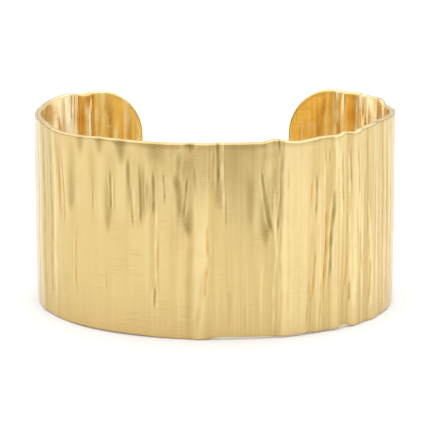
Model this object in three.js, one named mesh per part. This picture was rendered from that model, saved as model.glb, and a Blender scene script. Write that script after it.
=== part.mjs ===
// Cuff bracelet: one strip of gold-plated brass sheet, creased across its width by hand, trimmed
// with round corners and bent into an open oval. The wrist goes in sideways through the gap
// between the two ends. The whole bracelet is a single piece of metal with no clasp or hinge.
//
// Frame: millimetres, +Z up. The bracelet stands on its lower edge at z = 0, with its front
// facing -Y and its gap facing +Y. The origin is the middle of its footprint.
//
// A place on the strip is told by girth, the distance along the outside of the oval from the
// middle of the front, positive towards +X, and by height above the lower edge.

import * as THREE from "three";

// Driving dimensions.
const WIDTH = 63; // over the outside, from side to side
const FRONT_DEPTH = 24.9; // from the line of greatest width to the outside of the front
const BACK_DEPTH = 24.1; // the same to where the back would close
const FRONT_POWER = 2.1; // 2 is a true ellipse, and more is squarer
const BACK_POWER = 2.33;
const BAND_HEIGHT = 34.2;
const STRIP_LENGTH = 152; // of the flat strip, over its ends
const CORNER_RADIUS = 9;
const WALL = 1.1;

// How finely the sheet is faceted.
const STRAIGHT_COLUMNS = 128;
const CORNER_COLUMNS = 7;
const ROWS = 11;

// Folds fade in and out over this height, unless they run off an edge of the strip.
const FOLD_FADE = 5;
const OFF_THE_FOOT = -FOLD_FADE;
const OFF_THE_RIM = BAND_HEIGHT + 2 * FOLD_FADE;

// The trimmed edges aren't straight. rim is how far the upper edge stands over the band height,
// and foot how far the lower edge clears the ground. Where two rows have foot 0, the stretch
// between them is flat and the bracelet rests on it.
const EDGES = [
  { girth: -76, rim: -0.6, foot: 0.2 },
  { girth: -66, rim: -0.5, foot: 0.1 },
  { girth: -64, rim: -0.7, foot: 0.0 },
  { girth: -60, rim: 0.0, foot: 0.0 },
  { girth: -50, rim: -0.2, foot: 0.2 },
  { girth: -43, rim: -0.2, foot: 0.2 },
  { girth: -36, rim: 0.0, foot: 0.25 },
  { girth: -32, rim: -0.3, foot: 0.0 },
  { girth: -29, rim: -0.5, foot: 0.0 },
  { girth: -25, rim: -0.4, foot: 0.15 },
  { girth: -20, rim: -0.1, foot: 0.2 },
  { girth: -13, rim: -0.2, foot: 0.15 },
  { girth: -9, rim: -0.3, foot: 0.0 },
  { girth: -3, rim: -0.25, foot: 0.0 },
  { girth: 1, rim: -0.2, foot: 0.4 },
  { girth: 8, rim: -0.2, foot: 0.35 },
  { girth: 10, rim: 0.2, foot: 0.25 },
  { girth: 14, rim: -0.3, foot: 0.25 },
  { girth: 19, rim: 0.1, foot: 0.2 },
  { girth: 21.5, rim: 0.0, foot: 0.25 },
  { girth: 23.3, rim: 0.3, foot: 0.55 },
  { girth: 25.5, rim: 0.0, foot: 0.05 },
  { girth: 27, rim: 0.3, foot: 0.0 },
  { girth: 31, rim: 0.6, foot: 0.0 },
  { girth: 36, rim: 0.6, foot: 0.2 },
  { girth: 43, rim: 0.1, foot: 0.3 },
  { girth: 51, rim: -0.35, foot: 0.15 },
  { girth: 54, rim: 0.1, foot: 0.1 },
  { girth: 60, rim: -0.1, foot: 0.0 },
  { girth: 64, rim: -0.2, foot: 0.0 },
  { girth: 76, rim: -0.4, foot: 0.2 },
];

// How far the sheet leans out of the plain oval, at four heights from its foot to its rim.
const LEANS = [
  { girth: -76, foot: 0.0, waist: 0.0, shoulder: 0.0, rim: 0.0 },
  { girth: -60, foot: 0.1, waist: -0.1, shoulder: 0.0, rim: 0.2 },
  { girth: -45, foot: 0.3, waist: 0.45, shoulder: 0.4, rim: 0.35 },
  { girth: -36, foot: 0.25, waist: 0.35, shoulder: 0.2, rim: 0.2 },
  { girth: -30, foot: 0.0, waist: 0.0, shoulder: 0.0, rim: 0.5 },
  { girth: -22, foot: 0.1, waist: 0.1, shoulder: 0.1, rim: 0.5 },
  { girth: -14, foot: 0.0, waist: 0.15, shoulder: 0.2, rim: 0.1 },
  { girth: -8, foot: 0.0, waist: 0.15, shoulder: 0.1, rim: -0.3 },
  { girth: -2, foot: 0.1, waist: 0.25, shoulder: 0.2, rim: -0.5 },
  { girth: 4, foot: 0.0, waist: 0.2, shoulder: 0.2, rim: -0.4 },
  { girth: 9, foot: 0.0, waist: 0.0, shoulder: 0.0, rim: -0.3 },
  { girth: 16, foot: 0.2, waist: 0.0, shoulder: 0.1, rim: 0.0 },
  { girth: 24, foot: 0.3, waist: 0.15, shoulder: 0.1, rim: 0.0 },
  { girth: 33, foot: 0.35, waist: 0.1, shoulder: -0.1, rim: -0.4 },
  { girth: 42, foot: 0.25, waist: 0.3, shoulder: 0.2, rim: 0.1 },
  { girth: 60, foot: 0.1, waist: 0.0, shoulder: 0.1, rim: 0.2 },
  { girth: 76, foot: 0.0, waist: 0.0, shoulder: 0.0, rim: 0.0 },
];

// The main folds. Each runs up the sheet from low to high, crosses mid-height at girth and
// moves sideways by slant over the whole height. It reaches left and right of its crest by the
// widths given, and rise is how far the crest stands out, so a dent has a negative rise.
const FOLDS = [
  { girth: -74.0, slant: 0.5, low: 4, high: 30, left: 1.5, right: 1.8, rise: 0.15 },
  { girth: -72.2, slant: 0.3, low: 8, high: 31, left: 1.6, right: 1.4, rise: -0.18 },
  { girth: -70.2, slant: -0.6, low: 0, high: 29, left: 1.6, right: 1.5, rise: 0.18 },
  { girth: -68.4, slant: 0.2, low: 5, high: 33, left: 1.7, right: 1.9, rise: -0.22 },
  { girth: -66.3, slant: 0.4, low: OFF_THE_FOOT, high: OFF_THE_RIM, left: 1.5, right: 1.6, rise: 0.2 },
  { girth: -64.1, slant: 0.2, low: OFF_THE_FOOT, high: 33, left: 1.7, right: 1.7, rise: -0.25 },
  { girth: -61.7, slant: -1.2, low: OFF_THE_FOOT, high: OFF_THE_RIM, left: 1.7, right: 1.6, rise: 0.28 },
  { girth: -57.9, slant: 0.3, low: 6, high: 32, left: 2.2, right: 2.4, rise: -0.15 },
  { girth: -53.5, slant: 0.6, low: OFF_THE_FOOT, high: 31, left: 2.0, right: 2.2, rise: 0.2 },
  { girth: -49.5, slant: 0.0, low: 4, high: OFF_THE_RIM, left: 2.0, right: 2.0, rise: -0.25 },
  { girth: -45.0, slant: 0.5, low: OFF_THE_FOOT, high: 30, left: 2.2, right: 2.0, rise: 0.22 },
  { girth: -41.0, slant: -0.5, low: 5, high: OFF_THE_RIM, left: 1.9, right: 2.2, rise: -0.12 },
  { girth: -36.5, slant: 0.0, low: OFF_THE_FOOT, high: OFF_THE_RIM, left: 1.8, right: 1.8, rise: 0.12 },
  { girth: -33.8, slant: 0.2, low: OFF_THE_FOOT, high: 32, left: 1.6, right: 1.5, rise: -0.1 },
  { girth: -29.2, slant: -0.4, low: 16, high: 33, left: 1.5, right: 1.6, rise: -0.15 },
  { girth: -26.2, slant: 0.2, low: 19, high: 34, left: 1.8, right: 1.6, rise: -0.2 },
  { girth: -21.8, slant: 0.2, low: 22, high: 34, left: 1.8, right: 1.8, rise: -0.15 },
  { girth: -18.2, slant: 0.2, low: 18, high: 34, left: 1.7, right: 1.6, rise: -0.2 },
  { girth: -13.9, slant: 0.3, low: 18, high: 34, left: 1.9, right: 1.9, rise: -0.18 },
  { girth: -10.3, slant: 0.3, low: 5, high: 32, left: 1.5, right: 1.5, rise: -0.18 },
  { girth: -5.2, slant: 1.2, low: 18, high: 36, left: 1.9, right: 1.7, rise: -0.25 },
  { girth: -2.4, slant: 1.2, low: OFF_THE_FOOT, high: OFF_THE_RIM, left: 1.8, right: 2.2, rise: 0.25 },
  { girth: 0.5, slant: 0.4, low: 22, high: OFF_THE_RIM, left: 1.5, right: 1.5, rise: -0.12 },
  { girth: 5.0, slant: -0.3, low: 18, high: 33, left: 1.6, right: 1.8, rise: -0.1 },
  { girth: 8.6, slant: 0.0, low: 17, high: OFF_THE_RIM, left: 1.6, right: 1.5, rise: -0.2 },
  { girth: 11.6, slant: 0.2, low: OFF_THE_FOOT, high: OFF_THE_RIM, left: 1.5, right: 4.6, rise: 0.3 },
  { girth: 16.9, slant: 0.8, low: OFF_THE_FOOT, high: 20, left: 1.6, right: 1.5, rise: -0.19 },
  { girth: 19.6, slant: 0.6, low: OFF_THE_FOOT, high: 30, left: 1.5, right: 1.6, rise: -0.22 },
  { girth: 21.6, slant: 0.6, low: OFF_THE_FOOT, high: OFF_THE_RIM, left: 1.6, right: 1.6, rise: 0.17 },
  { girth: 23.5, slant: 0.8, low: OFF_THE_FOOT, high: OFF_THE_RIM, left: 1.5, right: 1.5, rise: -0.19 },
  { girth: 25.2, slant: -0.3, low: OFF_THE_FOOT, high: 14, left: 1.5, right: 1.8, rise: 0.19 },
  { girth: 26.6, slant: -0.4, low: 12, high: OFF_THE_RIM, left: 1.5, right: 1.6, rise: 0.14 },
  { girth: 28.4, slant: -0.6, low: OFF_THE_FOOT, high: OFF_THE_RIM, left: 1.5, right: 1.5, rise: -0.14 },
  { girth: 30.4, slant: 0.3, low: OFF_THE_FOOT, high: OFF_THE_RIM, left: 1.6, right: 1.6, rise: 0.14 },
  { girth: 33.2, slant: 0.2, low: OFF_THE_FOOT, high: OFF_THE_RIM, left: 1.6, right: 1.7, rise: -0.12 },
  { girth: 37.5, slant: -0.6, low: 8, high: 34, left: 2.2, right: 2.4, rise: 0.15 },
  { girth: 42.0, slant: 0.4, low: OFF_THE_FOOT, high: 31, left: 2.1, right: 2.0, rise: -0.12 },
  { girth: 46.5, slant: -0.4, low: 3, high: OFF_THE_RIM, left: 2.0, right: 2.2, rise: 0.2 },
  { girth: 51.8, slant: 0.2, low: OFF_THE_FOOT, high: OFF_THE_RIM, left: 1.9, right: 1.7, rise: -0.28 },
  { girth: 54.9, slant: 0.0, low: OFF_THE_FOOT, high: OFF_THE_RIM, left: 1.5, right: 1.5, rise: 0.18 },
  { girth: 58.9, slant: -0.2, low: OFF_THE_FOOT, high: 33, left: 1.6, right: 1.6, rise: -0.25 },
  { girth: 61.0, slant: 0.0, low: OFF_THE_FOOT, high: OFF_THE_RIM, left: 1.5, right: 1.7, rise: 0.22 },
  { girth: 63.6, slant: 0.2, low: OFF_THE_FOOT, high: OFF_THE_RIM, left: 1.7, right: 1.6, rise: -0.25 },
  { girth: 66.2, slant: 0.5, low: 6, high: OFF_THE_RIM, left: 1.5, right: 1.6, rise: 0.2 },
  { girth: 68.6, slant: -0.4, low: 3, high: 33, left: 1.6, right: 1.5, rise: -0.2 },
  { girth: 70.6, slant: 0.8, low: 2, high: 30, left: 1.5, right: 1.6, rise: 0.18 },
  { girth: 73.0, slant: -0.3, low: 6, high: 29, left: 1.6, right: 1.5, rise: -0.15 },
];

const HALF_STRIP = STRIP_LENGTH / 2;
const HALF_STRAIGHT = HALF_STRIP - CORNER_RADIUS;

// The outside of the plain oval seen from above: two half superellipses that share their width.
// t runs once round, with the middle of the front at 0.5.
class OvalPlan extends THREE.Curve {
  getPoint(t, target = new THREE.Vector3()) {
    const turn = 2 * Math.PI * (t - 0.5);
    const across = Math.sin(turn);
    const along = -Math.cos(turn);
    const front = along < 0;
    const depth = front ? FRONT_DEPTH : BACK_DEPTH;
    const power = front ? FRONT_POWER : BACK_POWER;
    const reach =
      Math.abs(across / (WIDTH / 2)) ** power + Math.abs(along / depth) ** power;
    return target.set(across, along, 0).multiplyScalar(reach ** (-1 / power));
  }
}

const plan = new OvalPlan();
plan.arcLengthDivisions = 2000;
const wholeGirth = plan.getLength();

// 0 below 0, 1 above 1, and an even slope at neither end.
function smoothStep(x) {
  return THREE.MathUtils.smoothstep(x, 0, 1);
}

// The value of one column of a table at a girth, eased from row to row.
function fromTable(table, girth, column) {
  const after = Math.max(
    1,
    table.findIndex((row) => row.girth >= girth),
  );
  const [from, to] = [table[after - 1], table[after]];
  const share = smoothStep((girth - from.girth) / (to.girth - from.girth));
  return THREE.MathUtils.lerp(from[column], to[column], share);
}

// How far the ends are trimmed back from the edges at a girth, to make the round corners.
function cornerTrim(girth) {
  const past = Math.max(0, Math.abs(girth) - HALF_STRAIGHT);
  return CORNER_RADIUS - Math.sqrt(Math.max(0, CORNER_RADIUS ** 2 - past ** 2));
}

// The lean out of the oval at a place: the four heights of the table, joined by a smooth curve.
function lean(girth, height) {
  const [p0, p1, p2, p3] = ["foot", "waist", "shoulder", "rim"].map((column) =>
    fromTable(LEANS, girth, column),
  );
  const at = THREE.MathUtils.clamp(height / BAND_HEIGHT, 0, 1) * 3;
  const span = Math.min(2, Math.floor(at));
  const points = [2 * p0 - p1, p0, p1, p2, p3, 2 * p3 - p2].slice(span, span + 4);
  const t = at - span;
  const [a, b, c, d] = points;
  return (
    b +
    0.5 * t * (c - a + t * (2 * a - 5 * b + 4 * c - d + t * (3 * (b - c) + d - a)))
  );
}

// How far one fold lifts the sheet at a place.
function foldLift(fold, girth, height) {
  const crest = fold.girth + fold.slant * (height / BAND_HEIGHT - 0.5);
  const reach = girth < crest ? fold.left : fold.right;
  const across = 1 - smoothStep(Math.abs(girth - crest) / reach);
  const along =
    smoothStep((height - fold.low) / FOLD_FADE) *
    smoothStep((fold.high - height) / FOLD_FADE);
  return fold.rise * across * along;
}

// A point of the sheet, depth mm in from its outside face.
function sheetPoint(girth, height, depth) {
  const u = 0.5 + girth / wholeGirth;
  const point = plan.getPointAt(u);
  const tangent = plan.getTangentAt(u);
  const out = new THREE.Vector3(tangent.y, -tangent.x, 0).normalize();
  const lift = FOLDS.reduce(
    (sum, fold) => sum + foldLift(fold, girth, height),
    lean(girth, height),
  );
  point.addScaledVector(out, lift - depth);
  point.z = height;
  return point;
}

// The girths at which the sheet is cut into columns. They crowd towards the ends, where the
// corners turn.
function columnGirths() {
  const straight = Array.from(
    { length: STRAIGHT_COLUMNS + 1 },
    (_, i) => HALF_STRAIGHT * ((2 * i) / STRAIGHT_COLUMNS - 1),
  );
  const corner = Array.from(
    { length: CORNER_COLUMNS },
    (_, i) =>
      HALF_STRAIGHT +
      CORNER_RADIUS * Math.sin((Math.PI / 2) * ((i + 1) / CORNER_COLUMNS)),
  );
  return [...corner.map((girth) => -girth).reverse(), ...straight, ...corner];
}

// The strip as one closed mesh. Each column is a ring of points, up the outside face and down
// the inside one, so that joining ring to ring makes both faces and both edges at once.
function makeStrip() {
  const girths = columnGirths();
  const ring = 2 * (ROWS + 1);
  const positions = [];
  const index = [];
  const quad = (a, b, c, d) => index.push(a, b, c, a, c, d);
  for (const girth of girths) {
    const trim = cornerTrim(girth);
    const foot = fromTable(EDGES, girth, "foot") + trim;
    const rim = BAND_HEIGHT + fromTable(EDGES, girth, "rim") - trim;
    const heights = Array.from({ length: ROWS + 1 }, (_, row) =>
      THREE.MathUtils.lerp(foot, rim, row / ROWS),
    );
    for (const height of heights)
      positions.push(...sheetPoint(girth, height, 0));
    for (const height of heights.reverse())
      positions.push(...sheetPoint(girth, height, WALL));
  }
  for (let column = 0; column < girths.length - 1; column++) {
    const here = column * ring;
    const next = here + ring;
    for (let k = 0; k < ring; k++) {
      const up = (k + 1) % ring;
      quad(here + k, next + k, next + up, here + up);
    }
  }
  const last = (girths.length - 1) * ring;
  for (let row = 0; row < ROWS; row++) {
    const [outer, inner] = [row, ring - 1 - row];
    quad(inner, outer, outer + 1, inner - 1);
    quad(last + outer, last + inner, last + inner - 1, last + outer + 1);
  }
  const geometry = new THREE.BufferGeometry();
  geometry.setAttribute("position", new THREE.Float32BufferAttribute(positions, 3));
  geometry.setIndex(index);
  return geometry;
}

// Moves the geometry so that the middle of its footprint is the origin.
function centreOnFootprint(geometry) {
  geometry.computeBoundingBox();
  const middle = geometry.boundingBox.getCenter(new THREE.Vector3());
  return geometry.translate(-middle.x, -middle.y, -geometry.boundingBox.min.z);
}

const goldPlate = new THREE.MeshStandardMaterial({
  color: 0xebcc86,
  roughness: 0.28,
  metalness: 1,
});

const cuffGeometry = centreOnFootprint(makeStrip());
cuffGeometry.computeVertexNormals();
const cuff = new THREE.Mesh(cuffGeometry, goldPlate);
cuff.name = "cuff";

const bracelet = new THREE.Group();
bracelet.add(cuff);

export default bracelet;
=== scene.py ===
import bpy
import numpy as np
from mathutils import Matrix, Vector


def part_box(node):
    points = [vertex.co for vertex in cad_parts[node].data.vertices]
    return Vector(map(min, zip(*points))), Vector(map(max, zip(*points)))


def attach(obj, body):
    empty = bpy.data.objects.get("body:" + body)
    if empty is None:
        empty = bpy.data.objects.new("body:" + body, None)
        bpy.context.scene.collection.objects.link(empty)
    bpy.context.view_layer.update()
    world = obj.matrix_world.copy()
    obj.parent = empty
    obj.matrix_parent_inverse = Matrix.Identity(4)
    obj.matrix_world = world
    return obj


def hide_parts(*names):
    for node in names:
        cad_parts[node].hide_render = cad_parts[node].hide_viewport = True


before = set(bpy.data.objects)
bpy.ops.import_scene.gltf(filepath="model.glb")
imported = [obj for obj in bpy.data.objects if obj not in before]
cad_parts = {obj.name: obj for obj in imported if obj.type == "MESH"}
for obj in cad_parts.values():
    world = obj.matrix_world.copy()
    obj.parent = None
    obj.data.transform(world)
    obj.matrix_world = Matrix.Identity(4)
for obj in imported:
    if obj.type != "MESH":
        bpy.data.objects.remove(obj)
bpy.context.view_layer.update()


# ---------------------------------------------------------------------------------------------
# Cuff. One strip of gold-plated brass sheet. It is creased across its width with a blunt punch
# over a stake, trimmed with round corners, its edges filed smooth, then bent round a mandrel
# into an open oval and plated.
# ---------------------------------------------------------------------------------------------

MM = 0.001
cuff_low, cuff_high = (np.array(end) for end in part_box("cuff"))

# The plain oval and the strip it is bent from, in millimetres. Girth is the length along the
# outside of the oval from the middle of the front, and it is below 0 on the left.
WIDTH = 63.0
FRONT_DEPTH = 24.9
FRONT_POWER = 2.1
BACK_DEPTH = 24.1
BACK_POWER = 2.33
BAND_HEIGHT = 34.2
STRIP_LENGTH = 152.0
CORNER_RADIUS = 9.0
WALL = 1.1
EDGE_ROUND = 0.4
HALF_STRIP = STRIP_LENGTH / 2
HALF_STRAIGHT = HALF_STRIP - CORNER_RADIUS

# The trimmed edges: girth, how far the rim stands over the band height, and how far the foot
# clears the ground.
EDGES = np.array([
    (-76, -0.6, 0.2), (-66, -0.5, 0.1), (-64, -0.7, 0), (-60, 0, 0),
    (-50, -0.2, 0.2), (-43, -0.2, 0.2), (-36, 0, 0.25), (-32, -0.3, 0),
    (-29, -0.5, 0), (-25, -0.4, 0.15), (-20, -0.1, 0.2), (-13, -0.2, 0.15),
    (-9, -0.3, 0), (-3, -0.25, 0), (1, -0.2, 0.4), (8, -0.2, 0.35),
    (10, 0.2, 0.25), (14, -0.3, 0.25), (19, 0.1, 0.2), (21.5, 0, 0.25),
    (23.3, 0.3, 0.55), (25.5, 0, 0.05), (27, 0.3, 0), (31, 0.6, 0),
    (36, 0.6, 0.2), (43, 0.1, 0.3), (51, -0.35, 0.15), (54, 0.1, 0.1),
    (60, -0.1, 0), (64, -0.2, 0), (76, -0.4, 0.2),
])  # fmt: skip

# The broad leans: girth, and how far the sheet leans out of the oval at its foot, waist,
# shoulder and rim.
LEANS = np.array([
    (-76, 0, 0, 0, 0), (-60, 0.1, -0.1, 0, 0.2), (-45, 0.3, 0.45, 0.4, 0.35),
    (-36, 0.25, 0.35, 0.2, 0.2), (-30, 0, 0, 0, 0.5), (-22, 0.1, 0.1, 0.1, 0.5),
    (-14, 0, 0.15, 0.2, 0.1), (-8, 0, 0.15, 0.1, -0.3), (-2, 0.1, 0.25, 0.2, -0.5),
    (4, 0, 0.2, 0.2, -0.4), (9, 0, 0, 0, -0.3), (16, 0.2, 0, 0.1, 0),
    (24, 0.3, 0.15, 0.1, 0), (33, 0.35, 0.1, -0.1, -0.4), (42, 0.25, 0.3, 0.2, 0.1),
    (60, 0.1, 0, 0.1, 0.2), (76, 0, 0, 0, 0),
])  # fmt: skip

# The main folds: girth at mid-height, slant over the whole height, low end, high end, reach to
# the left, reach to the right, and rise. A dent has a negative rise.
FOLDS = [
    (-74, 0.5, 4, 30, 1.5, 1.8, 0.15), (-72.2, 0.3, 8, 31, 1.6, 1.4, -0.18),
    (-70.2, -0.6, 0, 29, 1.6, 1.5, 0.18), (-68.4, 0.2, 5, 33, 1.7, 1.9, -0.22),
    (-66.3, 0.4, -5, 44, 1.5, 1.6, 0.2), (-64.1, 0.2, -5, 33, 1.7, 1.7, -0.25),
    (-61.7, -1.2, -5, 44, 1.7, 1.6, 0.28), (-57.9, 0.3, 6, 32, 2.2, 2.4, -0.15),
    (-53.5, 0.6, -5, 31, 2, 2.2, 0.2), (-49.5, 0, 4, 44, 2, 2, -0.25),
    (-45, 0.5, -5, 30, 2.2, 2, 0.22), (-41, -0.5, 5, 44, 1.9, 2.2, -0.12),
    (-36.5, 0, -5, 44, 1.8, 1.8, 0.12), (-33.8, 0.2, -5, 32, 1.6, 1.5, -0.1),
    (-29.2, -0.4, 16, 33, 1.5, 1.6, -0.15), (-26.2, 0.2, 19, 34, 1.8, 1.6, -0.2),
    (-21.8, 0.2, 22, 34, 1.8, 1.8, -0.15), (-18.2, 0.2, 18, 34, 1.7, 1.6, -0.2),
    (-13.9, 0.3, 18, 34, 1.9, 1.9, -0.18), (-10.3, 0.3, 5, 32, 1.5, 1.5, -0.18),
    (-5.2, 1.2, 18, 36, 1.9, 1.7, -0.25), (-2.4, 1.2, -5, 44, 1.8, 2.2, 0.25),
    (0.5, 0.4, 22, 44, 1.5, 1.5, -0.12), (5, -0.3, 18, 33, 1.6, 1.8, -0.1),
    (8.6, 0, 17, 44, 1.6, 1.5, -0.2), (11.6, 0.2, -5, 44, 1.5, 4.6, 0.3),
    (16.9, 0.8, -5, 20, 1.6, 1.5, -0.19), (19.6, 0.6, -5, 30, 1.5, 1.6, -0.22),
    (21.6, 0.6, -5, 44, 1.6, 1.6, 0.17), (23.5, 0.8, -5, 44, 1.5, 1.5, -0.19),
    (25.2, -0.3, -5, 14, 1.5, 1.8, 0.19), (26.6, -0.4, 12, 44, 1.5, 1.6, 0.14),
    (28.4, -0.6, -5, 44, 1.5, 1.5, -0.14), (30.4, 0.3, -5, 44, 1.6, 1.6, 0.14),
    (33.2, 0.2, -5, 44, 1.6, 1.7, -0.12), (37.5, -0.6, 8, 34, 2.2, 2.4, 0.15),
    (42, 0.4, -5, 31, 2.1, 2, -0.12), (46.5, -0.4, 3, 44, 2, 2.2, 0.2),
    (51.8, 0.2, -5, 44, 1.9, 1.7, -0.28), (54.9, 0, -5, 44, 1.5, 1.5, 0.18),
    (58.9, -0.2, -5, 33, 1.6, 1.6, -0.25), (61, 0, -5, 44, 1.5, 1.7, 0.22),
    (63.6, 0.2, -5, 44, 1.7, 1.6, -0.25), (66.2, 0.5, 6, 44, 1.5, 1.6, 0.2),
    (68.6, -0.4, 3, 33, 1.6, 1.5, -0.2), (70.6, 0.8, 2, 30, 1.5, 1.6, 0.18),
    (73, -0.3, 6, 29, 1.6, 1.5, -0.15),
]  # fmt: skip
FOLD_FADE = 5.0

# Thumb-shaped dents of the outside: girth, reach to the left, reach to the right, low end,
# deepest height, high end, and depth. Below its deepest height a dent leans back.
DENTS = [
    (-29.6, 1, 0.9, 20, 27, 33, 0.06), (-26.9, 1.2, 1.3, 20, 22.5, 31, 0.14),
    (-24, 1.7, 1.6, 30, 35, 46, 0.16), (-20, 1.6, 1.5, 30.5, 35, 46, 0.16),
    (-18.7, 1.3, 1, 17, 21.5, 30, 0.15), (-16, 2, 1.5, 29, 35, 46, 0.2),
    (-14.8, 0.7, 0.7, 21.5, 27, 33, 0.1), (-12.4, 1.2, 1, 18.5, 26, 32, 0.22),
    (-11, 0.9, 0.9, 21, 25, 30, 0.1), (-10.2, 2.6, 3.2, 27, 38, 50, 0.12),
    (-6.3, 1.3, 1.1, 19, 25, 33, 0.09), (-4.4, 1.4, 1.2, 17, 20.5, 26, 0.11),
    (5.7, 0.9, 1.4, 18, 26, 31, 0.1), (8.4, 1.8, 1.3, 15.5, 20.5, 27, 0.16),
    (10.9, 0.6, 0.5, 16, 22, 38, 0.12),
]  # fmt: skip
# A dent this deep is wholly painted with shade.
WHOLLY_SHADED_DENT = 0.35
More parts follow.
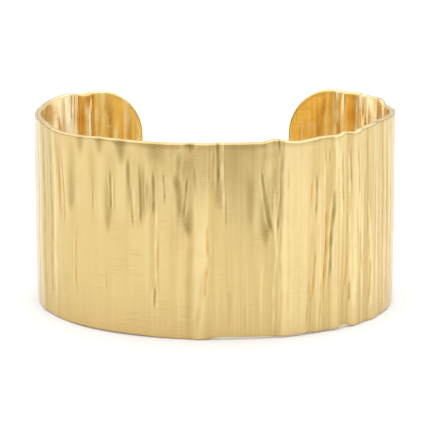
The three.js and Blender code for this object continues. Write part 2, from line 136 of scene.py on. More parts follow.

# Narrow creases of the outside: girth and height of the low end, girth and height of the high
# end, reach to the left, reach to the right, rise, and how much deep gold is painted in it, as
# painted reflection of its own gold walls. A sunk crease gets painted shade where no deep gold is
# painted, and a raised one a painted highlight.
CREASES = [
    (-39.8, -3, -39.4, 38, 0.8, 0.8, 0.03, 0), (-38.2, -3, -38, 38, 0.7, 0.9, -0.05, 0),
    (-35.2, -3, -35, 38, 0.7, 0.7, -0.05, 0), (-32.5, -3, -32.3, 38, 0.6, 0.7, -0.05, 0.1),
    (-31.2, -3, -31, 34, 0.6, 0.6, 0.025, 0), (-29.9, 18, -29.9, 30, 0.35, 0.35, -0.08, 0.6),
    (-29.2, 20, -29.5, 31, 0.35, 0.35, 0.08, 0), (-28.5, 16, -29, 31, 0.4, 0.4, -0.1, 0.8),
    (-26.8, 7.5, -26.6, 16, 0.3, 0.3, -0.03, 0.4), (-25.9, 5.5, -25.4, 19, 0.4, 0.3, -0.14, 1),
    (-25.5, 5, -25.1, 17, 0.25, 0.25, -0.06, 0), (-21.9, 20, -21.7, 28, 0.35, 0.35, -0.05, 0.2),
    (-19.3, 7.5, -19.2, 11.5, 0.3, 0.3, -0.03, 0.4), (-18.1, 21, -18.4, 29.5, 0.3, 0.3, -0.12, 0),
    (-17.8, 21, -17.9, 28, 0.25, 0.25, 0.05, 0), (-17.5, 21, -17.5, 28, 0.25, 0.25, -0.06, 0.2),
    (-14.8, 25, -14.8, 31.5, 0.4, 0.4, -0.09, 0), (-14, 18.5, -14.5, 27, 0.3, 0.3, -0.09, 0.2),
    (-13.6, 20, -13.9, 27, 0.3, 0.3, 0.06, 0), (-13, 18.5, -13, 21.5, 0.3, 0.3, -0.04, 0.5),
    (-12.7, 19, -12.9, 31, 0.3, 0.3, -0.1, 0), (-12, 20, -12.1, 28, 0.25, 0.25, -0.07, 0.3),
    (-11.5, 21, -11.5, 28.5, 0.3, 0.3, -0.07, 0), (-10.5, 21, -10.5, 30, 0.4, 0.35, -0.14, 0),
    (-10.4, 5, -10.4, 9.5, 0.3, 0.3, -0.12, 0), (-10.1, 5.5, -10, 28, 0.3, 0.3, 0.08, 0),
    (-9.8, 7.5, -9.7, 18.5, 0.25, 0.25, -0.06, 0.7), (-9.6, 11.5, -9.6, 18.5, 0.3, 0.3, -0.03, 0.4),
    (-8.5, 23.5, -8.9, 29.5, 0.3, 0.3, -0.1, 0), (-6.7, 27, -6, 33, 0.7, 0.5, -0.06, 0),
    (-5.6, 21, -6.6, 29.5, 0.9, 0.7, -0.08, 0), (-5.6, 21, -4.6, 29, 0.35, 0.3, -0.14, 0),
    (-4.8, 0, -3.9, 20, 1.1, 0.5, -0.03, 0.1), (-4.6, 18.5, -4.1, 23.5, 1, 0.9, -0.04, 0),
    (-4.6, 33.2, -3.8, 34.6, 1, 0.9, -0.12, 0.1), (-3.4, 25.5, -3.4, 30.5, 0.4, 0.4, -0.05, 0),
    (-3.1, 1, -2.2, 25, 1.5, 1.6, 0.03, 0), (-3.2, 1, -1.9, 13.5, 0.7, 0.5, -0.05, 0.2),
    (-1.75, 7, -1.6, 13.5, 0.35, 0.35, -0.12, 0.8), (-1.3, 14.5, -1.3, 20.5, 0.35, 0.35, -0.1, 1),
    (-1, 24.5, -1, 38, 0.25, 0.25, -0.05, 0.3), (-0.5, 24.5, -0.45, 38, 0.25, 0.25, -0.05, 0.3),
    (0.3, 24, 0.3, 48, 0.4, 0.35, -0.16, 0), (1.4, 19, 1, 44, 0.35, 0.3, 0.16, 0),
    (1.6, 19.5, 1.45, 27, 0.25, 0.3, -0.1, 0), (2.2, 2, 2.3, 9.5, 0.5, 0.5, -0.03, 0.2),
    (4.9, 1.5, 4.9, 6.5, 0.3, 0.3, -0.03, 0.3), (7.4, 0.5, 8.1, 17, 0.25, 0.25, 0.03, 0),
    (8.3, 22.5, 7.7, 30, 0.35, 0.3, -0.14, 0), (9.9, 17.5, 8, 27, 0.6, 0.35, -0.14, 0),
    (8.9, 25, 9, 40, 0.9, 0.9, 0.06, 0), (9.6, 20, 9.6, 31, 0.25, 0.25, -0.07, 0.1),
    (9.5, -3, 10.3, 18, 0.3, 0.3, 0.05, 0), (9.9, 25.5, 9.9, 30, 0.3, 0.3, -0.09, 0),
    (10.4, 13, 10, 24, 0.35, 0.25, 0.13, 0), (10.2, 20, 10.2, 30, 0.2, 0.2, -0.05, 0.1),
    (10.3, 18, 11.1, 27, 0.35, 0.4, -0.12, 0), (11.4, 29, 10, 38, 0.4, 0.3, -0.16, 0),
    (11, -4, 11, 39, 0.3, 0.3, -0.07, 0.1), (11.15, 19, 11.35, 46, 0.4, 0.3, -0.2, 0),
    (12.1, 25.5, 12.1, 30.5, 0.25, 0.25, -0.05, 0.5), (12.4, -4, 12.1, 30, 0.4, 0.4, -0.03, 0.2),
    (13.2, 5, 13.3, 24, 0.3, 0.3, 0.03, 0), (15.7, 1, 16.2, 10.5, 0.3, 0.3, -0.1, 0.5),
    (16.2, 1, 16.6, 9, 0.3, 0.3, -0.08, 0.4), (16.4, 21.5, 16.5, 28, 0.3, 0.3, -0.08, 0.8),
    (16.9, 4.5, 17.3, 15.5, 0.35, 0.35, -0.11, 0.5), (17.3, 20, 17.3, 29, 0.3, 0.3, -0.14, 0.1),
    (17.8, 18, 17.8, 29, 0.3, 0.3, 0.06, 0), (18.1, -3, 18.3, 10.5, 0.3, 0.3, -0.08, 0.3),
    (19, 29.5, 18.9, 34, 0.3, 0.3, -0.1, 0.7), (19, 4, 19.8, 25, 0.45, 0.4, -0.22, 1),
    (19.9, 29.5, 19.9, 32, 0.3, 0.3, -0.1, 0.3), (19.6, 8, 20.3, 25, 0.3, 0.3, 0.08, 0),
    (20, 8, 20.95, 26, 0.45, 0.4, -0.2, 0), (20.8, 21.5, 20.95, 25, 0.35, 0.35, -0.11, 0),
    (22, 27, 20.5, 38, 0.5, 0.5, 0.11, 0), (22.5, 18, 21.8, 33, 0.3, 0.3, 0.08, 0),
    (23, 20.5, 22.2, 33, 0.3, 0.3, -0.12, 0.8), (23.4, 7, 23.9, 13.5, 0.4, 0.4, -0.16, 0.9),
    (23.8, 16.5, 23.8, 20.5, 0.35, 0.3, -0.11, 0.7), (24.2, 23, 23.9, 32, 0.3, 0.3, 0.08, 0),
    (24.3, 4.5, 24.3, 8.5, 0.35, 0.35, -0.18, 0.1), (24.4, 16, 24.4, 21, 0.25, 0.25, 0.06, 0),
    (24.6, 23, 24.4, 32.5, 0.3, 0.3, -0.12, 0.2), (25, 3, 25, 9, 0.7, 0.7, 0.14, 0),
    (25.2, 12, 25.3, 24, 0.3, 0.3, 0.05, 0), (26, 22, 25.6, 32, 0.25, 0.25, 0.07, 0),
    (26.2, 12, 26, 22, 0.3, 0.3, -0.05, 0.6), (26.4, 21.5, 25.9, 32.5, 0.3, 0.3, -0.1, 0.4),
    (27.5, 9, 26.5, 17.5, 0.35, 0.35, -0.08, 0.5), (27.2, 19, 27, 33, 0.3, 0.3, -0.06, 0.5),
    (28, 24, 27.9, 38, 0.3, 0.3, 0.06, 0), (28.7, 25, 28.8, 34, 0.3, 0.3, -0.06, 0.4),
    (29.6, 11.5, 28.4, 22.5, 0.3, 0.3, -0.08, 0.3), (29.2, 2, 29.7, 12.5, 0.3, 0.3, -0.08, 0.3),
    (30, 9, 28.9, 22.5, 0.35, 0.35, 0.12, 0), (29.6, 1, 30, 12, 0.35, 0.35, 0.1, 0),
    (30.8, 4, 31, 33, 0.3, 0.3, -0.06, 0.5), (31.6, -3, 31.4, 38, 0.4, 0.4, 0.06, 0),
    (32.3, 6, 32.5, 36, 0.3, 0.35, -0.07, 0.5), (33.3, -3, 33.3, 30, 0.35, 0.35, 0.06, 0),
    (34.1, 9, 34, 38, 0.35, 0.35, -0.07, 0.4), (34.9, 2, 35.1, 27, 0.35, 0.35, 0.06, 0),
    (35.6, -3, 35.6, 34, 0.35, 0.35, -0.07, 0.6), (36.6, 12, 36.4, 38, 0.4, 0.4, 0.07, 0),
    (37.4, 3, 37.2, 26, 0.35, 0.35, -0.07, 0.5), (38.3, -3, 38.5, 35, 0.4, 0.4, 0.07, 0),
    (39.2, 8, 39.2, 38, 0.4, 0.4, -0.07, 0.5), (40.3, -3, 40.2, 30, 0.4, 0.4, 0.06, 0),
]  # fmt: skip

# Narrow creases of the inside, in the same columns. They rise towards the wrist.
INSIDE_CREASES = [
    (-74.8, 8, -74.8, 28, 0.6, 0.6, 0.07, 0), (-73.5, 8, -73.6, 30, 0.5, 0.5, -0.08, 0.8),
    (-72.4, 24, -72.6, 32.5, 1, 0.9, 0.12, 0), (-71.5, 6, -71.6, 33, 0.5, 0.5, -0.1, 0.8),
    (-70.4, 14, -70.7, 30, 0.6, 0.7, 0.14, 0), (-68.8, 4, -69.3, 27, 0.9, 0.9, -0.11, 0.9),
    (-69.2, 26, -68, 30.4, 0.5, 0.5, 0.12, 0), (-67.3, 20, -68.1, 37, 0.5, 0.6, 0.12, 0),
    (-66.4, 8, -66.4, 38, 0.6, 0.6, 0.12, 0), (-65.4, -3, -65.5, 40, 0.7, 0.6, -0.11, 0.9),
    (-64.3, 20, -64.1, 32.5, 1.2, 1.2, 0.2, 0), (-63.9, 29.5, -63.9, 40, 1.5, 1.5, -0.05, 0.9),
    (-62.6, -3, -63.2, 40, 0.7, 1.8, -0.12, 0.95), (-61.4, 6, -61.5, 38, 0.8, 0.6, 0.12, 0),
    (-60, 12, -61, 37, 0.5, 0.4, -0.1, 0.5), (-58.4, -3, -58.2, 38, 2.6, 2.2, 0.16, 0),
    (-56.4, 10, -55.8, 36, 0.4, 0.4, -0.08, 0.7), (-54.5, -5, -54.5, 46, 5.5, 4.5, -0.01, 0.28),
    (-54.3, 12, -54.3, 33, 0.3, 0.3, -0.07, 0.6), (-52.8, 10, -52.8, 32, 0.3, 0.3, -0.07, 0.6),
    (-49.5, 8, -49.5, 38, 1.6, 1.6, -0.09, 0.65), (48.8, -3, 48.8, 38, 1.8, 1.8, -0.06, 0.4),
    (52.3, -3, 52.2, 40, 1.5, 1.5, -0.13, 1), (53.5, -5, 53.5, 46, 5.5, 4, -0.01, 0.32),
    (54.3, 26, 54.2, 34, 0.5, 0.5, -0.08, 0.9), (55.2, 6, 55.2, 36, 0.35, 0.35, 0.07, 0),
    (56.4, -3, 56.4, 38, 0.9, 0.9, -0.11, 0.6), (57.6, 6, 57.6, 37, 0.5, 0.5, 0.1, 0),
    (58.6, -3, 58.8, 29, 1.8, 1.7, 0.14, 0), (59, 26, 58.9, 34, 0.9, 0.9, -0.07, 0.9),
    (59.6, 30, 59.5, 37, 1.2, 1.2, 0.1, 0), (60.5, 10, 60.6, 36, 0.3, 0.3, -0.08, 0.5),
    (61.1, -3, 61.1, 40, 0.45, 0.45, 0.12, 0), (62.9, -3, 62.4, 40, 1.3, 1.4, -0.16, 1),
    (64, 6, 64, 36, 0.5, 0.5, 0.1, 0), (64.5, 22, 64.4, 32, 0.3, 0.3, -0.11, 0.3),
    (65.1, 20, 65.1, 35, 0.7, 0.6, -0.12, 0.9), (65.7, 27, 65.9, 37, 0.9, 0.7, 0.16, 0),
    (66.6, 6, 66.4, 37, 0.7, 0.6, 0.1, 0), (67.2, 4, 67.2, 34, 0.4, 0.4, -0.1, 0.8),
    (68, 10, 67.6, 32, 0.6, 0.6, 0.12, 0), (68.9, 4, 68.6, 30, 0.6, 0.6, -0.08, 0.8),
    (69, 29, 69, 34, 0.5, 0.5, -0.15, 0.5), (71, 21, 71.3, 28.5, 1.1, 1.1, 0.18, 0),
    (72, 6, 70.4, 34, 0.8, 0.7, -0.12, 0.95), (71.5, -5, 71.5, 46, 5.5, 6, -0.01, 0.55),
    (73.4, 17, 73.2, 28.5, 0.6, 0.5, 0.14, 0), (73.7, 8, 73.6, 30, 0.6, 0.6, -0.08, 0.8),
    (75.3, 8, 75.3, 28, 0.6, 0.6, 0.07, 0),
]  # fmt: skip
# Sinking this far paints a crease wholly with shade, rising this far wholly with a highlight.
WHOLLY_SHADED_CREASE = 0.14
WHOLLY_HIGHLIT_CREASE = 0.09
OUTSIDE_CRISPNESS = 1.5
INSIDE_CRISPNESS = 2.5

# Shading and lines along the strip: girth, how much painted shade lies outside (below 0, how
# much painted highlight), how thickly the fine lines lie, and how much painted highlight pales
# the inside.
SHADING_AND_LINES = np.array([
    (-76, 0, 1, 0.3), (-73, 0, 1, 0.1), (-62, 0, 1, 0.1), (-60.5, 0, 1, 0.75),
    (-50, 0.06, 1, 0.5), (-37, 0.12, 1, 0.4), (-34.5, 0.34, 1, 0.4), (-31, 0.18, 1, 0.4),
    (-28, 0.12, 0.05, 0.4), (-12, 0.12, 0.15, 0.4), (-8, 0.1, 0.3, 0.4), (-5, 0.14, 0.3, 0.4),
    (-1, 0.04, 0.3, 0.4), (3, 0.28, 0.3, 0.4), (8, 0.28, 0.3, 0.4), (10.8, 0.14, 0.3, 0.4),
    (11.1, -0.35, 0.3, 0.4), (15.5, -0.3, 0.3, 0.4), (17, 0.06, 1, 0.4), (26, 0.06, 1, 0.4),
    (31, 0.14, 1, 0.5), (46, 0.05, 1, 0.3), (60, 0, 1, 0.6), (61.5, 0, 1, 0.1),
    (68, 0, 1, 0), (76, 0, 1, 0),
])  # fmt: skip


def ease(x):
    """3x2 - 2x3 between 0 and 1: a step with no slope at either end."""
    x = np.clip(x, 0, 1)
    return x * x * (3 - 2 * x)


def from_table(table, girth):
    """Each column of a table at each girth, eased from row to row."""
    row = np.clip(np.searchsorted(table[:, 0], girth), 1, len(table) - 1)
    start, stop = table[row - 1], table[row]
    share = ease((girth - start[:, 0]) / (stop[:, 0] - start[:, 0]))
    return (start + (stop - start) * share[:, None])[:, 1:]


def oval_at(girth):
    """Points and outward normals of the oval. Two half superellipses share their width, and
    girth is measured along them on a fine polyline."""
    turn = np.linspace(0, np.pi, 20001)
    across, along = np.sin(turn), -np.cos(turn)
    depth = np.where(along < 0, FRONT_DEPTH, BACK_DEPTH)
    power = np.where(along < 0, FRONT_POWER, BACK_POWER)
    reach = np.abs(across * 2 / WIDTH) ** power + np.abs(along / depth) ** power
    x, y = across * reach ** (-1 / power), along * reach ** (-1 / power)
    length = np.concatenate([[0], np.cumsum(np.hypot(np.diff(x), np.diff(y)))])
    run_x, run_y = np.gradient(x, length), np.gradient(y, length)
    side, far = np.sign(girth), np.abs(girth)
    at = [np.interp(far, length, values) for values in (x, y, run_y, -run_x)]
    return np.stack([at[0] * side, at[1]], 1), np.stack([at[2] * side, at[3]], 1)


def corner_trim(girth):
    """How far a quarter circle cuts back the ends of the strip."""
    past = np.clip(np.abs(girth) - HALF_STRAIGHT, 0, CORNER_RADIUS)
    return CORNER_RADIUS - np.sqrt(CORNER_RADIUS**2 - past**2)


def lean(girth, height):
    """A Catmull-Rom curve up the sheet, through the four heights of LEANS."""
    knots = from_table(LEANS, girth)
    knots = np.column_stack([2 * knots[:, 0] - knots[:, 1], knots, 2 * knots[:, 3] - knots[:, 2]])
    at = np.clip(height / BAND_HEIGHT, 0, 1) * 3
    span = np.minimum(np.floor(at), 2).astype(int)
    t = at - span
    a, b, c, d = (np.take_along_axis(knots, span + k, 1) for k in range(4))
    return b + t / 2 * (c - a + t * (2 * a - 5 * b + 4 * c - d + t * (3 * (b - c) + d - a)))


def folds_lift(girth, height):
    """The sum of the main folds: an eased crest across, faded in and out along its length."""
    lift = np.zeros_like(height)
    for middle, slant, low, high, left, right, rise in FOLDS:
        off = girth[:, None] - middle - slant * (height / BAND_HEIGHT - 0.5)
        across = 1 - ease(np.abs(off) / np.where(off < 0, left, right))
        along = ease((height - low) / FOLD_FADE) * ease((high - height) / FOLD_FADE)
        lift += rise * across * along
    return lift


def dents_lift(girth, height):
    """The sum of the thumb dents, eased across and along, and the painted shade in them. A
    dent narrows to 0.4 of its reach at its low end."""
    lift, painted_shade = np.zeros((2, *height.shape))
    for middle, left, right, low, deepest, high, depth in DENTS:
        off = girth[:, None] - middle
        inward = (height - low) / (deepest - low)
        outward = (high - height) / (high - deepest)
        reach = np.where(off < 0, left, right) * (0.4 + 0.6 * ease(inward))
        across = 1 - ease(np.abs(off) / reach)
        lift -= depth * across * ease(inward) * ease(outward)
        shade = across * ease(inward * 2) * ease(outward * 1.2)
        painted_shade = np.maximum(painted_shade, depth / WHOLLY_SHADED_DENT * shade)
    return lift, painted_shade


def creases_lift(rows, girth, height, crispness):
    """The sum of the narrow creases, and the light painted on them: deep gold as painted reflection
    of their walls, painted shade in sunk ones, and painted highlight on raised ones and on the lips
    of sunk ones. A crease runs from end to end and wanders 0.1 mm from its line; its section is a
    cusp, (1 - off / reach) squared, with a low lip the other way at 1.3 times its reach. It tapers
    over a quarter of its length, and its rise comes and goes by a fifth. Its painted colour fills
    more of the section, and ends more sharply, as the crispness goes up."""
    lift, painted_reflection, painted_shade, painted_highlight = np.zeros((4, *height.shape))
    for low_girth, low, high_girth, high, left, right, rise, gold in rows:
        share = (height - low) / (high - low)
        along = ease(share * 4) * ease((1 - share) * 4)
        along = along * (0.8 + 0.2 * np.sin(1.3 * height + 5 * low_girth))
        wander = 0.1 * np.sin(0.45 * height + 2.7 * low_girth)
        off = girth[:, None] - low_girth - (high_girth - low_girth) * share - wander
        out = np.abs(off) / (np.where(off < 0, left, right) * (0.6 + 0.4 * along))
        across = np.clip(1 - out, 0, 1) ** 2
        core = np.clip((1 - out) * crispness, 0, 1) * along
        lip = np.clip(1 - np.abs(out - 1.3) / 0.6, 0, 1)
        lift += rise * along * (across - 0.2 * lip)
        sunk = np.clip(-rise / WHOLLY_SHADED_CREASE, 0, 1)
        raised = np.clip(rise / WHOLLY_HIGHLIT_CREASE, 0, 1)
        painted_reflection = np.maximum(painted_reflection, gold * core)
        painted_shade = np.maximum(painted_shade, (1 - gold) * sunk * core)
        painted_highlight = np.maximum(painted_highlight, raised * core + 0.6 * sunk * lip * along)
    return lift, np.stack([painted_reflection, painted_shade, painted_highlight])


# Columns of the grid along the strip, close together on the front and closer round a corner.
FRONT_END = 44.0
FRONT_COLUMNS = 275
BACK_COLUMNS = 105
CORNER_COLUMNS = 26
front = np.linspace(0, FRONT_END, FRONT_COLUMNS + 1)
back = np.linspace(FRONT_END, HALF_STRAIGHT, BACK_COLUMNS + 1)[1:]
corner_turn = np.linspace(0, np.pi / 2, CORNER_COLUMNS + 1)[1:]
corner = HALF_STRAIGHT + CORNER_RADIUS * np.sin(corner_turn)
half = np.concatenate([front, back, corner])
girth = np.concatenate([-half[:0:-1], half])
girth_column = girth[:, None]

# Rows up the sheet, close together where the edges round over.
EDGE_ROWS = np.array([0, 0.02, 0.06, 0.13, 0.25, 0.4])
ROWS_BETWEEN = 41
trim = corner_trim(girth)
edges = from_table(EDGES, girth)
foot = edges[:, 1] + trim
rim = BAND_HEIGHT + edges[:, 0] - trim
rows_low = foot[:, None] + EDGE_ROWS
rows_high = rim[:, None] - EDGE_ROWS[::-1]
share_up = np.linspace(0, 1, ROWS_BETWEEN + 2)[1:-1]
rows_between = rows_low[:, -1:] + (rows_high[:, :1] - rows_low[:, -1:]) * share_up
height = np.hstack([rows_low, rows_between, rows_high])

# How far each point is from the outline of the strip, and so how much the edge rounds it off.
past_straight = np.abs(girth_column) - HALF_STRAIGHT
from_edge = np.minimum(height - foot[:, None], rim[:, None] - height)
from_corner = CORNER_RADIUS - np.hypot(
    np.clip(past_straight, 0, None),
    np.clip(CORNER_RADIUS - (from_edge + trim[:, None]), 0, None),
)
from_outline = np.minimum(np.clip(from_corner, 0, None), HALF_STRIP - np.abs(girth_column))
inset = np.clip(np.where(past_straight > 0, from_outline, from_edge), 0, EDGE_ROUND)
rounding = EDGE_ROUND - np.sqrt(EDGE_ROUND**2 - (EDGE_ROUND - inset) ** 2)

# The outside carries every fold, dent and crease. The inside carries the leans and folds, most
# of each dent, and its own creases.
DENTS_INSIDE = 0.8
broad = lean(girth, height) + folds_lift(girth, height)
dents, dent_shade = dents_lift(girth, height)
narrow, painted_light = creases_lift(CREASES, girth, height, OUTSIDE_CRISPNESS)
narrow_inside, painted_light_inside = creases_lift(INSIDE_CREASES, girth, height, INSIDE_CRISPNESS)
outside = broad + dents + narrow - rounding
inside = broad + DENTS_INSIDE * dents - narrow_inside - WALL + rounding

# Painted shade grows up the sheet, from below the foot to 28 mm. The creases of the inside get
# less painted shade than those of the outside.
SHADE_FROM = -6
SHADE_OVER = 34
SHADE_MOST = 1.2
SHADE_INSIDE = 0.25
shading_and_lines = from_table(SHADING_AND_LINES, girth)
sheet_shade = np.clip(shading_and_lines[:, :1], 0, 1) * SHADE_MOST * ease((height - SHADE_FROM) / SHADE_OVER)
painted_light[1] = np.clip(painted_light[1] + dent_shade + sheet_shade, 0, 1)
# Below 0, the shading along the strip is a painted highlight.
painted_light[2] = np.maximum(painted_light[2], np.clip(-shading_and_lines[:, :1], 0, 1))
painted_light_inside[1] *= SHADE_INSIDE

# A crest stands over the mean of the sheet within 1.5 mm to each side. A valley lies under it.
# Valleys get painted shade and crests a painted highlight.
CREST_STEPS = (-1.5, -1.0, -0.5, 0.5, 1.0, 1.5)
WHOLE_CREST = 0.08
relief = broad + dents + narrow
nearby = [
    np.stack([np.interp(girth + step, girth, row) for row in relief.T], 1) for step in CREST_STEPS
]
crest = np.clip((relief - np.mean(nearby, 0)) / WHOLE_CREST, -1, 1)

point, normal = oval_at(girth)


def onto_oval(lift):
    """A place on the sheet: the oval's point, moved out along its normal by the lift."""
    flat = point[:, None, :] + normal[:, None, :] * lift[:, :, None]
    return np.concatenate([flat, height[:, :, None]], 2)


# Each column is a ring of points, up the outside and down the inside. The oval's axis is placed
# so that the middle of the footprint is the CAD's.
ring = np.concatenate([onto_oval(outside), onto_oval(inside)[:, ::-1]], 1)
columns, ring_count = ring.shape[:2]
rows = ring_count // 2
corners = ring.reshape(-1, 3)
middle = (corners.min(0) + corners.max(0)) / 2
oval_axis = (cuff_low + cuff_high) / 2 - middle * MM
oval_axis[2] = cuff_low[2]
corners = corners * MM + oval_axis

# Faces join neighbouring rings, and a cap of faces closes each end of the strip.
number = np.arange(columns * ring_count).reshape(columns, ring_count)
here, there = number[:-1], number[1:]
sides = np.stack([here, there, np.roll(there, -1, 1), np.roll(here, -1, 1)], 2).reshape(-1, 4)
caps = []
for end, turned in ((number[0], False), (number[-1], True)):
    outer, inner = end[:rows], end[: rows - 1 : -1]
    cap = np.stack([inner[:-1], outer[:-1], outer[1:], inner[1:]], 1)
    caps.append(cap[:, ::-1] if turned else cap)
faces = np.concatenate([sides, *caps])

cuff_mesh = bpy.data.meshes.new("creased_cuff")
cuff_mesh.from_pydata(corners.tolist(), [], faces.tolist())
cuff_mesh.polygons.foreach_set("use_smooth", np.ones(len(faces), bool))


def round_ring(outer, inner):
    """One number for every point of every ring, from a value or a grid for each side."""
    outer, inner = (np.broadcast_to(values, height.shape) for values in (outer, inner))
    return np.concatenate([outer, inner[:, ::-1]], 1).reshape(-1)


def store_on_points(name, *parts):
    """Adds an attribute to the cuff's points: a float from one part, a vector from three."""
    kind, field = ("FLOAT", "value") if len(parts) == 1 else ("FLOAT_VECTOR", "vector")
    attribute = cuff_mesh.attributes.new(name, kind, "POINT")
    attribute.data.foreach_set(field, np.stack(parts, 1).astype(np.float32).ravel())


# What the material reads. Unrolled is the place on the flat strip: girth, height and depth
# below the outside, in metres. The painted light is deep gold as painted reflection, painted
# shade and painted highlight. Crests, edge and lines are the crests and valleys, the nearness of
# the trimmed edge, and the fine lines. The inside highlight is how much painted highlight pales
# the inside.
CREST_INSIDE = -0.4
LINES_INSIDE = 0.5
edge_nearness = 1 - inset / EDGE_ROUND
fine_lines, inside_highlight_share = shading_and_lines[:, 1:2], shading_and_lines[:, 2:]
store_on_points(
    "unrolled",
    round_ring(girth_column, girth_column) * MM,
    round_ring(height, height) * MM,
    round_ring(rounding, WALL - rounding) * MM,
)
store_on_points("painted_light", *(round_ring(painted_light[k], painted_light_inside[k]) for k in range(3)))
store_on_points(
    "crest_edge_lines",
    round_ring(crest, CREST_INSIDE * crest),
    round_ring(edge_nearness, edge_nearness),
    round_ring(fine_lines, LINES_INSIDE * fine_lines),
)
store_on_points("inside_highlight", round_ring(0, inside_highlight_share))
cuff_mesh.validate()
cuff_mesh.update()
cuff = bpy.data.objects.new("creased_cuff", cuff_mesh)
bpy.context.scene.collection.objects.link(cuff)

# Long marks in the metal, as a group: noise stretched one way along the unrolled strip.
marks = bpy.data.node_groups.new("long_marks", "ShaderNodeTree")
for name, kind, way in (
    ("Place", "NodeSocketVector", "INPUT"),
    ("Scale", "NodeSocketVector", "INPUT"),
    ("Detail", "NodeSocketFloat", "INPUT"),
    ("Height", "NodeSocketFloat", "OUTPUT"),
):
    marks.interface.new_socket(name, in_out=way, socket_type=kind)
marks_in = marks.nodes.new("NodeGroupInput")
marks_out = marks.nodes.new("NodeGroupOutput")
marks_stretch = marks.nodes.new("ShaderNodeVectorMath")
marks_stretch.operation = "MULTIPLY"
marks_noise = marks.nodes.new("ShaderNodeTexNoise")
marks_noise.inputs["Scale"].default_value = 1.0
marks_noise.inputs["Roughness"].default_value = 0.6
marks.links.new(marks_in.outputs["Place"], marks_stretch.inputs[0])
marks.links.new(marks_in.outputs["Scale"], marks_stretch.inputs[1])
marks.links.new(marks_stretch.outputs[0], marks_noise.inputs["Vector"])
marks.links.new(marks_in.outputs["Detail"], marks_noise.inputs["Detail"])
marks.links.new(marks_noise.outputs["Fac"], marks_out.inputs["Height"])

# The tones of the gold: seven outside, then three inside. The deep golds are painted reflection
# of gold walls in creases, the dull gold is painted shade, the rubbed gold is pale lines and
# painted highlight, the valley gold is dark lines and painted shade, the inner gold is brightened
# to lift the shade inside, and the inner pale is painted highlight.
BRIGHT_GOLD = (0.715, 0.53, 0.232, 1)
SOFT_GOLD = (0.662, 0.487, 0.208, 1)
REFLECTED_GOLD = (0.6, 0.345, 0.09, 1)
DARK_LINE_AND_SHADE_GOLD = (0.56, 0.39, 0.145, 1)
SHADE_GOLD = (0.3, 0.217, 0.064, 1)
PALE_LINE_AND_HIGHLIGHT_GOLD = (0.88, 0.71, 0.37, 1)
EDGE_GOLD = (0.66, 0.5, 0.25, 1)
INNER_LIT_GOLD = (0.93, 0.69, 0.25, 1)
INNER_REFLECTED = (0.84, 0.455, 0.075, 1)
INNER_HIGHLIGHT = (0.97, 0.87, 0.58, 1)

gold = bpy.data.materials.new("gold_plate")
gold.use_nodes = True
nodes, links = gold.node_tree.nodes, gold.node_tree.links
metal = nodes["Principled BSDF"]
metal.inputs["Metallic"].default_value = 1.0


def read_attribute(name):
    """A node that reads one of the cuff's attributes."""
    source = nodes.new("ShaderNodeAttribute")
    source.attribute_name = name
    return source


def split_vector(source):
    """The three numbers of an attribute node's vector."""
    split = nodes.new("ShaderNodeSeparateXYZ")
    links.new(source.outputs["Vector"], split.inputs[0])
    return [split.outputs[axis] for axis in "XYZ"]


place = read_attribute("unrolled")


def long_marks(scale, detail):
    """One layer of marks: cycles per metre along girth, height and depth."""
    layer = nodes.new("ShaderNodeGroup")
    layer.node_tree = marks
    layer.inputs["Scale"].default_value = scale
    layer.inputs["Detail"].default_value = detail
    links.new(place.outputs["Vector"], layer.inputs["Place"])
    return layer.outputs["Height"]


def to_range(value, low, high, new_low, new_high):
    """Maps low..high to new_low..new_high, held at the ends."""
    node = nodes.new("ShaderNodeMapRange")
    links.new(value, node.inputs["Value"])
    node.inputs["From Min"].default_value = low
    node.inputs["From Max"].default_value = high
    node.inputs["To Min"].default_value = new_low
    node.inputs["To Max"].default_value = new_high
    return node.outputs["Result"]


def times(first, second):
    """The product of two sockets."""
    node = nodes.new("ShaderNodeMath")
    node.operation = "MULTIPLY"
    links.new(first, node.inputs[0])
    links.new(second, node.inputs[1])
    return node.outputs[0]


def mix_colour(share, first, second):
    """Blends two colours, each a socket or a fixed colour."""
    node = nodes.new("ShaderNodeMix")
    node.data_type = "RGBA"
    links.new(share, node.inputs[0])
    for socket, colour in ((6, first), (7, second)):
        if isinstance(colour, bpy.types.NodeSocket):
            links.new(colour, node.inputs[socket])
        else:
            node.inputs[socket].default_value = colour
    return node.outputs[2]


_, _, depth_in = split_vector(place)
painted_reflection, painted_shade, painted_highlight = split_vector(read_attribute("painted_light"))
high, edge, lines = split_vector(read_attribute("crest_edge_lines"))
inside_highlight = read_attribute("inside_highlight").outputs["Fac"]
inner = to_range(depth_in, 0.0005, 0.0008, 0, 1)

# A soft mottle outside, and inside a brighter, warmer gold painted to lift its shade, with
# painted highlights where the inside is pale.
mottle = long_marks((450, 30, 450), 2)
tone = mix_colour(to_range(mottle, 0.35, 0.65, 0, 1), SOFT_GOLD, BRIGHT_GOLD)
tone = mix_colour(inner, tone, INNER_LIT_GOLD)
tone = mix_colour(inside_highlight, tone, INNER_HIGHLIGHT)

# Fine and broader lines along the creases, some dark and some pale.
streaks = long_marks((2000, 28, 2000), 2)
tone = mix_colour(times(to_range(streaks, 0.53, 0.66, 0, 0.75), lines), tone, DARK_LINE_AND_SHADE_GOLD)
tone = mix_colour(times(to_range(streaks, 0.46, 0.34, 0, 0.75), lines), tone, PALE_LINE_AND_HIGHLIGHT_GOLD)
bands = long_marks((850, 22, 850), 1)
tone = mix_colour(times(to_range(bands, 0.55, 0.68, 0, 0.5), lines), tone, DARK_LINE_AND_SHADE_GOLD)
tone = mix_colour(times(to_range(bands, 0.44, 0.3, 0, 0.5), lines), tone, PALE_LINE_AND_HIGHLIGHT_GOLD)

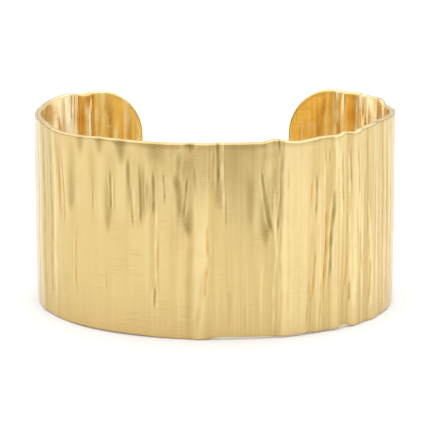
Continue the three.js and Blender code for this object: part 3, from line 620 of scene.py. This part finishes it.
# Patches of brushing across the creases.
brush_marks = long_marks((260, 4600, 2000), 2)
patches = to_range(long_marks((160, 130, 160), 2), 0.45, 0.6, 0.1, 1)
tone = mix_colour(times(to_range(brush_marks, 0.5, 0.7, 0, 0.6), patches), tone, DARK_LINE_AND_SHADE_GOLD)

# Painted shade in valleys and painted highlight on crests, then the painted shade, highlight
# and deep-gold reflection of single creases, dents and sheet, then the trimmed edge.
tone = mix_colour(to_range(high, 0, -1, 0, 0.45), tone, DARK_LINE_AND_SHADE_GOLD)
tone = mix_colour(to_range(high, 0.1, 1, 0, 0.25), tone, PALE_LINE_AND_HIGHLIGHT_GOLD)
tone = mix_colour(to_range(painted_shade, 0, 1, 0, 0.85), tone, SHADE_GOLD)
highlight_tone = mix_colour(inner, PALE_LINE_AND_HIGHLIGHT_GOLD, INNER_HIGHLIGHT)
tone = mix_colour(to_range(painted_highlight, 0, 1, 0, 0.85), tone, highlight_tone)
reflection_tone = mix_colour(inner, REFLECTED_GOLD, INNER_REFLECTED)
tone = mix_colour(to_range(painted_reflection, 0, 1, 0, 0.85), tone, reflection_tone)
tone = mix_colour(to_range(edge, 0.2, 1, 0, 0.6), tone, EDGE_GOLD)
links.new(tone, metal.inputs["Base Color"])

# The polish varies a little, and it is rougher where highlights are painted.
polish = long_marks((300, 90, 300), 4)
worn = nodes.new("ShaderNodeMath")
worn.operation = "MULTIPLY_ADD"
links.new(painted_highlight, worn.inputs[0])
worn.inputs[1].default_value = 0.15
links.new(to_range(polish, 0.3, 0.7, 0.19, 0.27), worn.inputs[2])
links.new(worn.outputs[0], metal.inputs["Roughness"])

striations = nodes.new("ShaderNodeBump")
striations.inputs["Strength"].default_value = 0.5
striations.inputs["Distance"].default_value = 0.00003
links.new(long_marks((3200, 160, 3200), 1), striations.inputs["Height"])
brushing = nodes.new("ShaderNodeBump")
brushing.inputs["Strength"].default_value = 0.5
brushing.inputs["Distance"].default_value = 0.00002
links.new(times(brush_marks, patches), brushing.inputs["Height"])
links.new(striations.outputs["Normal"], brushing.inputs["Normal"])
links.new(brushing.outputs["Normal"], metal.inputs["Normal"])

cuff_mesh.materials.append(gold)
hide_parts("cuff")
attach(cuff, "root")


# ---------------------------------------------------------------------------------------------
# Floor. A plain matt white sheet that the bracelet stands on. It ends a little way in front, so
# the folds that lean back mirror the room past it.
# ---------------------------------------------------------------------------------------------

FLOOR_HALF_WIDTH = 1.1
FLOOR_FRONT = -0.22
FLOOR_BACK = 1.1
floor_corners = [
    (-FLOOR_HALF_WIDTH, FLOOR_FRONT, 0),
    (FLOOR_HALF_WIDTH, FLOOR_FRONT, 0),
    (FLOOR_HALF_WIDTH, FLOOR_BACK, 0),
    (-FLOOR_HALF_WIDTH, FLOOR_BACK, 0),
]
floor_mesh = bpy.data.meshes.new("floor")
floor_mesh.from_pydata(floor_corners, [], [(0, 1, 2, 3)])
floor = bpy.data.objects.new("floor", floor_mesh)
bpy.context.scene.collection.objects.link(floor)
floor_white = bpy.data.materials.new("floor_white")
floor_white.use_nodes = True
matt = floor_white.node_tree.nodes["Principled BSDF"]
matt.inputs["Base Color"].default_value = (0.87, 0.893, 0.94, 1)
matt.inputs["Roughness"].default_value = 0.9
matt.inputs["Specular IOR Level"].default_value = 0.1
floor_mesh.materials.append(floor_white)


# ---------------------------------------------------------------------------------------------
# Light. One broad soft box hangs over the bracelet, in a room that is white behind and has a
# warmer, dimmer wall in front, which the folds that lean back mirror as their dark tone.
# ---------------------------------------------------------------------------------------------

LAMP_PLACE = (0.0, 0.1, 0.9)
LAMP_WIDTH = 3.0
LAMP_LENGTH = 2.6
LAMP_RADIANCE = 0.84
lamp = bpy.data.lights.new("overhead", "AREA")
lamp.shape = "RECTANGLE"
lamp.size = LAMP_WIDTH
lamp.size_y = LAMP_LENGTH
lamp.energy = LAMP_RADIANCE * np.pi * LAMP_WIDTH * LAMP_LENGTH
overhead = bpy.data.objects.new("overhead", lamp)
overhead.location = LAMP_PLACE
overhead.visible_camera = False
bpy.context.scene.collection.objects.link(overhead)

DIM_SIDE = np.radians(-20)
DIM_WALL = (0.78, 0.745, 0.66, 1)
WHITE_WALL = (0.9, 0.9, 0.9, 1)
room = bpy.data.worlds.new("room")
bpy.context.scene.world = room
room.use_nodes = True
room_nodes, room_links = room.node_tree.nodes, room.node_tree.links
toward = room_nodes.new("ShaderNodeTexCoord")
facing = room_nodes.new("ShaderNodeVectorMath")
facing.operation = "DOT_PRODUCT"
facing.inputs[1].default_value = (np.sin(DIM_SIDE), -np.cos(DIM_SIDE), 0.05)
room_links.new(toward.outputs["Generated"], facing.inputs[0])
white_share = room_nodes.new("ShaderNodeMapRange")
white_share.interpolation_type = "SMOOTHSTEP"
white_share.inputs["From Min"].default_value = 0.82
white_share.inputs["From Max"].default_value = 0.4
room_links.new(facing.outputs["Value"], white_share.inputs["Value"])
walls = room_nodes.new("ShaderNodeMix")
walls.data_type = "RGBA"
room_links.new(white_share.outputs["Result"], walls.inputs[0])
walls.inputs[6].default_value = DIM_WALL
walls.inputs[7].default_value = WHITE_WALL

# The camera sees a plain white backdrop in place of the walls.
seen = room_nodes.new("ShaderNodeLightPath")
backdrop = room_nodes.new("ShaderNodeMix")
backdrop.data_type = "RGBA"
room_links.new(seen.outputs["Is Camera Ray"], backdrop.inputs[0])
room_links.new(walls.outputs[2], backdrop.inputs[6])
backdrop.inputs[7].default_value = (1, 1, 1, 1)
room_links.new(backdrop.outputs[2], room_nodes["Background"].inputs["Color"])
room_nodes["Background"].inputs["Strength"].default_value = 1.0

bpy.context.scene.view_settings.view_transform = "Standard"


# ---------------------------------------------------------------------------------------------
# Camera. Straight on to the front, 15 degrees above it, with a long lens. It aims a little
# below the middle of the band.
# ---------------------------------------------------------------------------------------------

CAMERA_DISTANCE = 0.3687
CAMERA_RISE = np.radians(15.13)
AIM_BELOW = 0.0020
back_and_up = Vector((0, -np.cos(CAMERA_RISE), np.sin(CAMERA_RISE)))
view_up = Vector((0, np.sin(CAMERA_RISE), np.cos(CAMERA_RISE)))
look_at = Vector((0, oval_axis[1], BAND_HEIGHT / 2 * MM))
camera_data = bpy.data.cameras.new("camera")
camera_data.sensor_width = 36
camera_data.lens = 173.2
camera = bpy.data.objects.new("camera", camera_data)
camera.location = look_at + back_and_up * CAMERA_DISTANCE
aim = look_at - view_up * AIM_BELOW
camera.rotation_euler = (aim - camera.location).to_track_quat("-Z", "Y").to_euler()
bpy.context.scene.collection.objects.link(camera)
bpy.context.scene.camera = camera
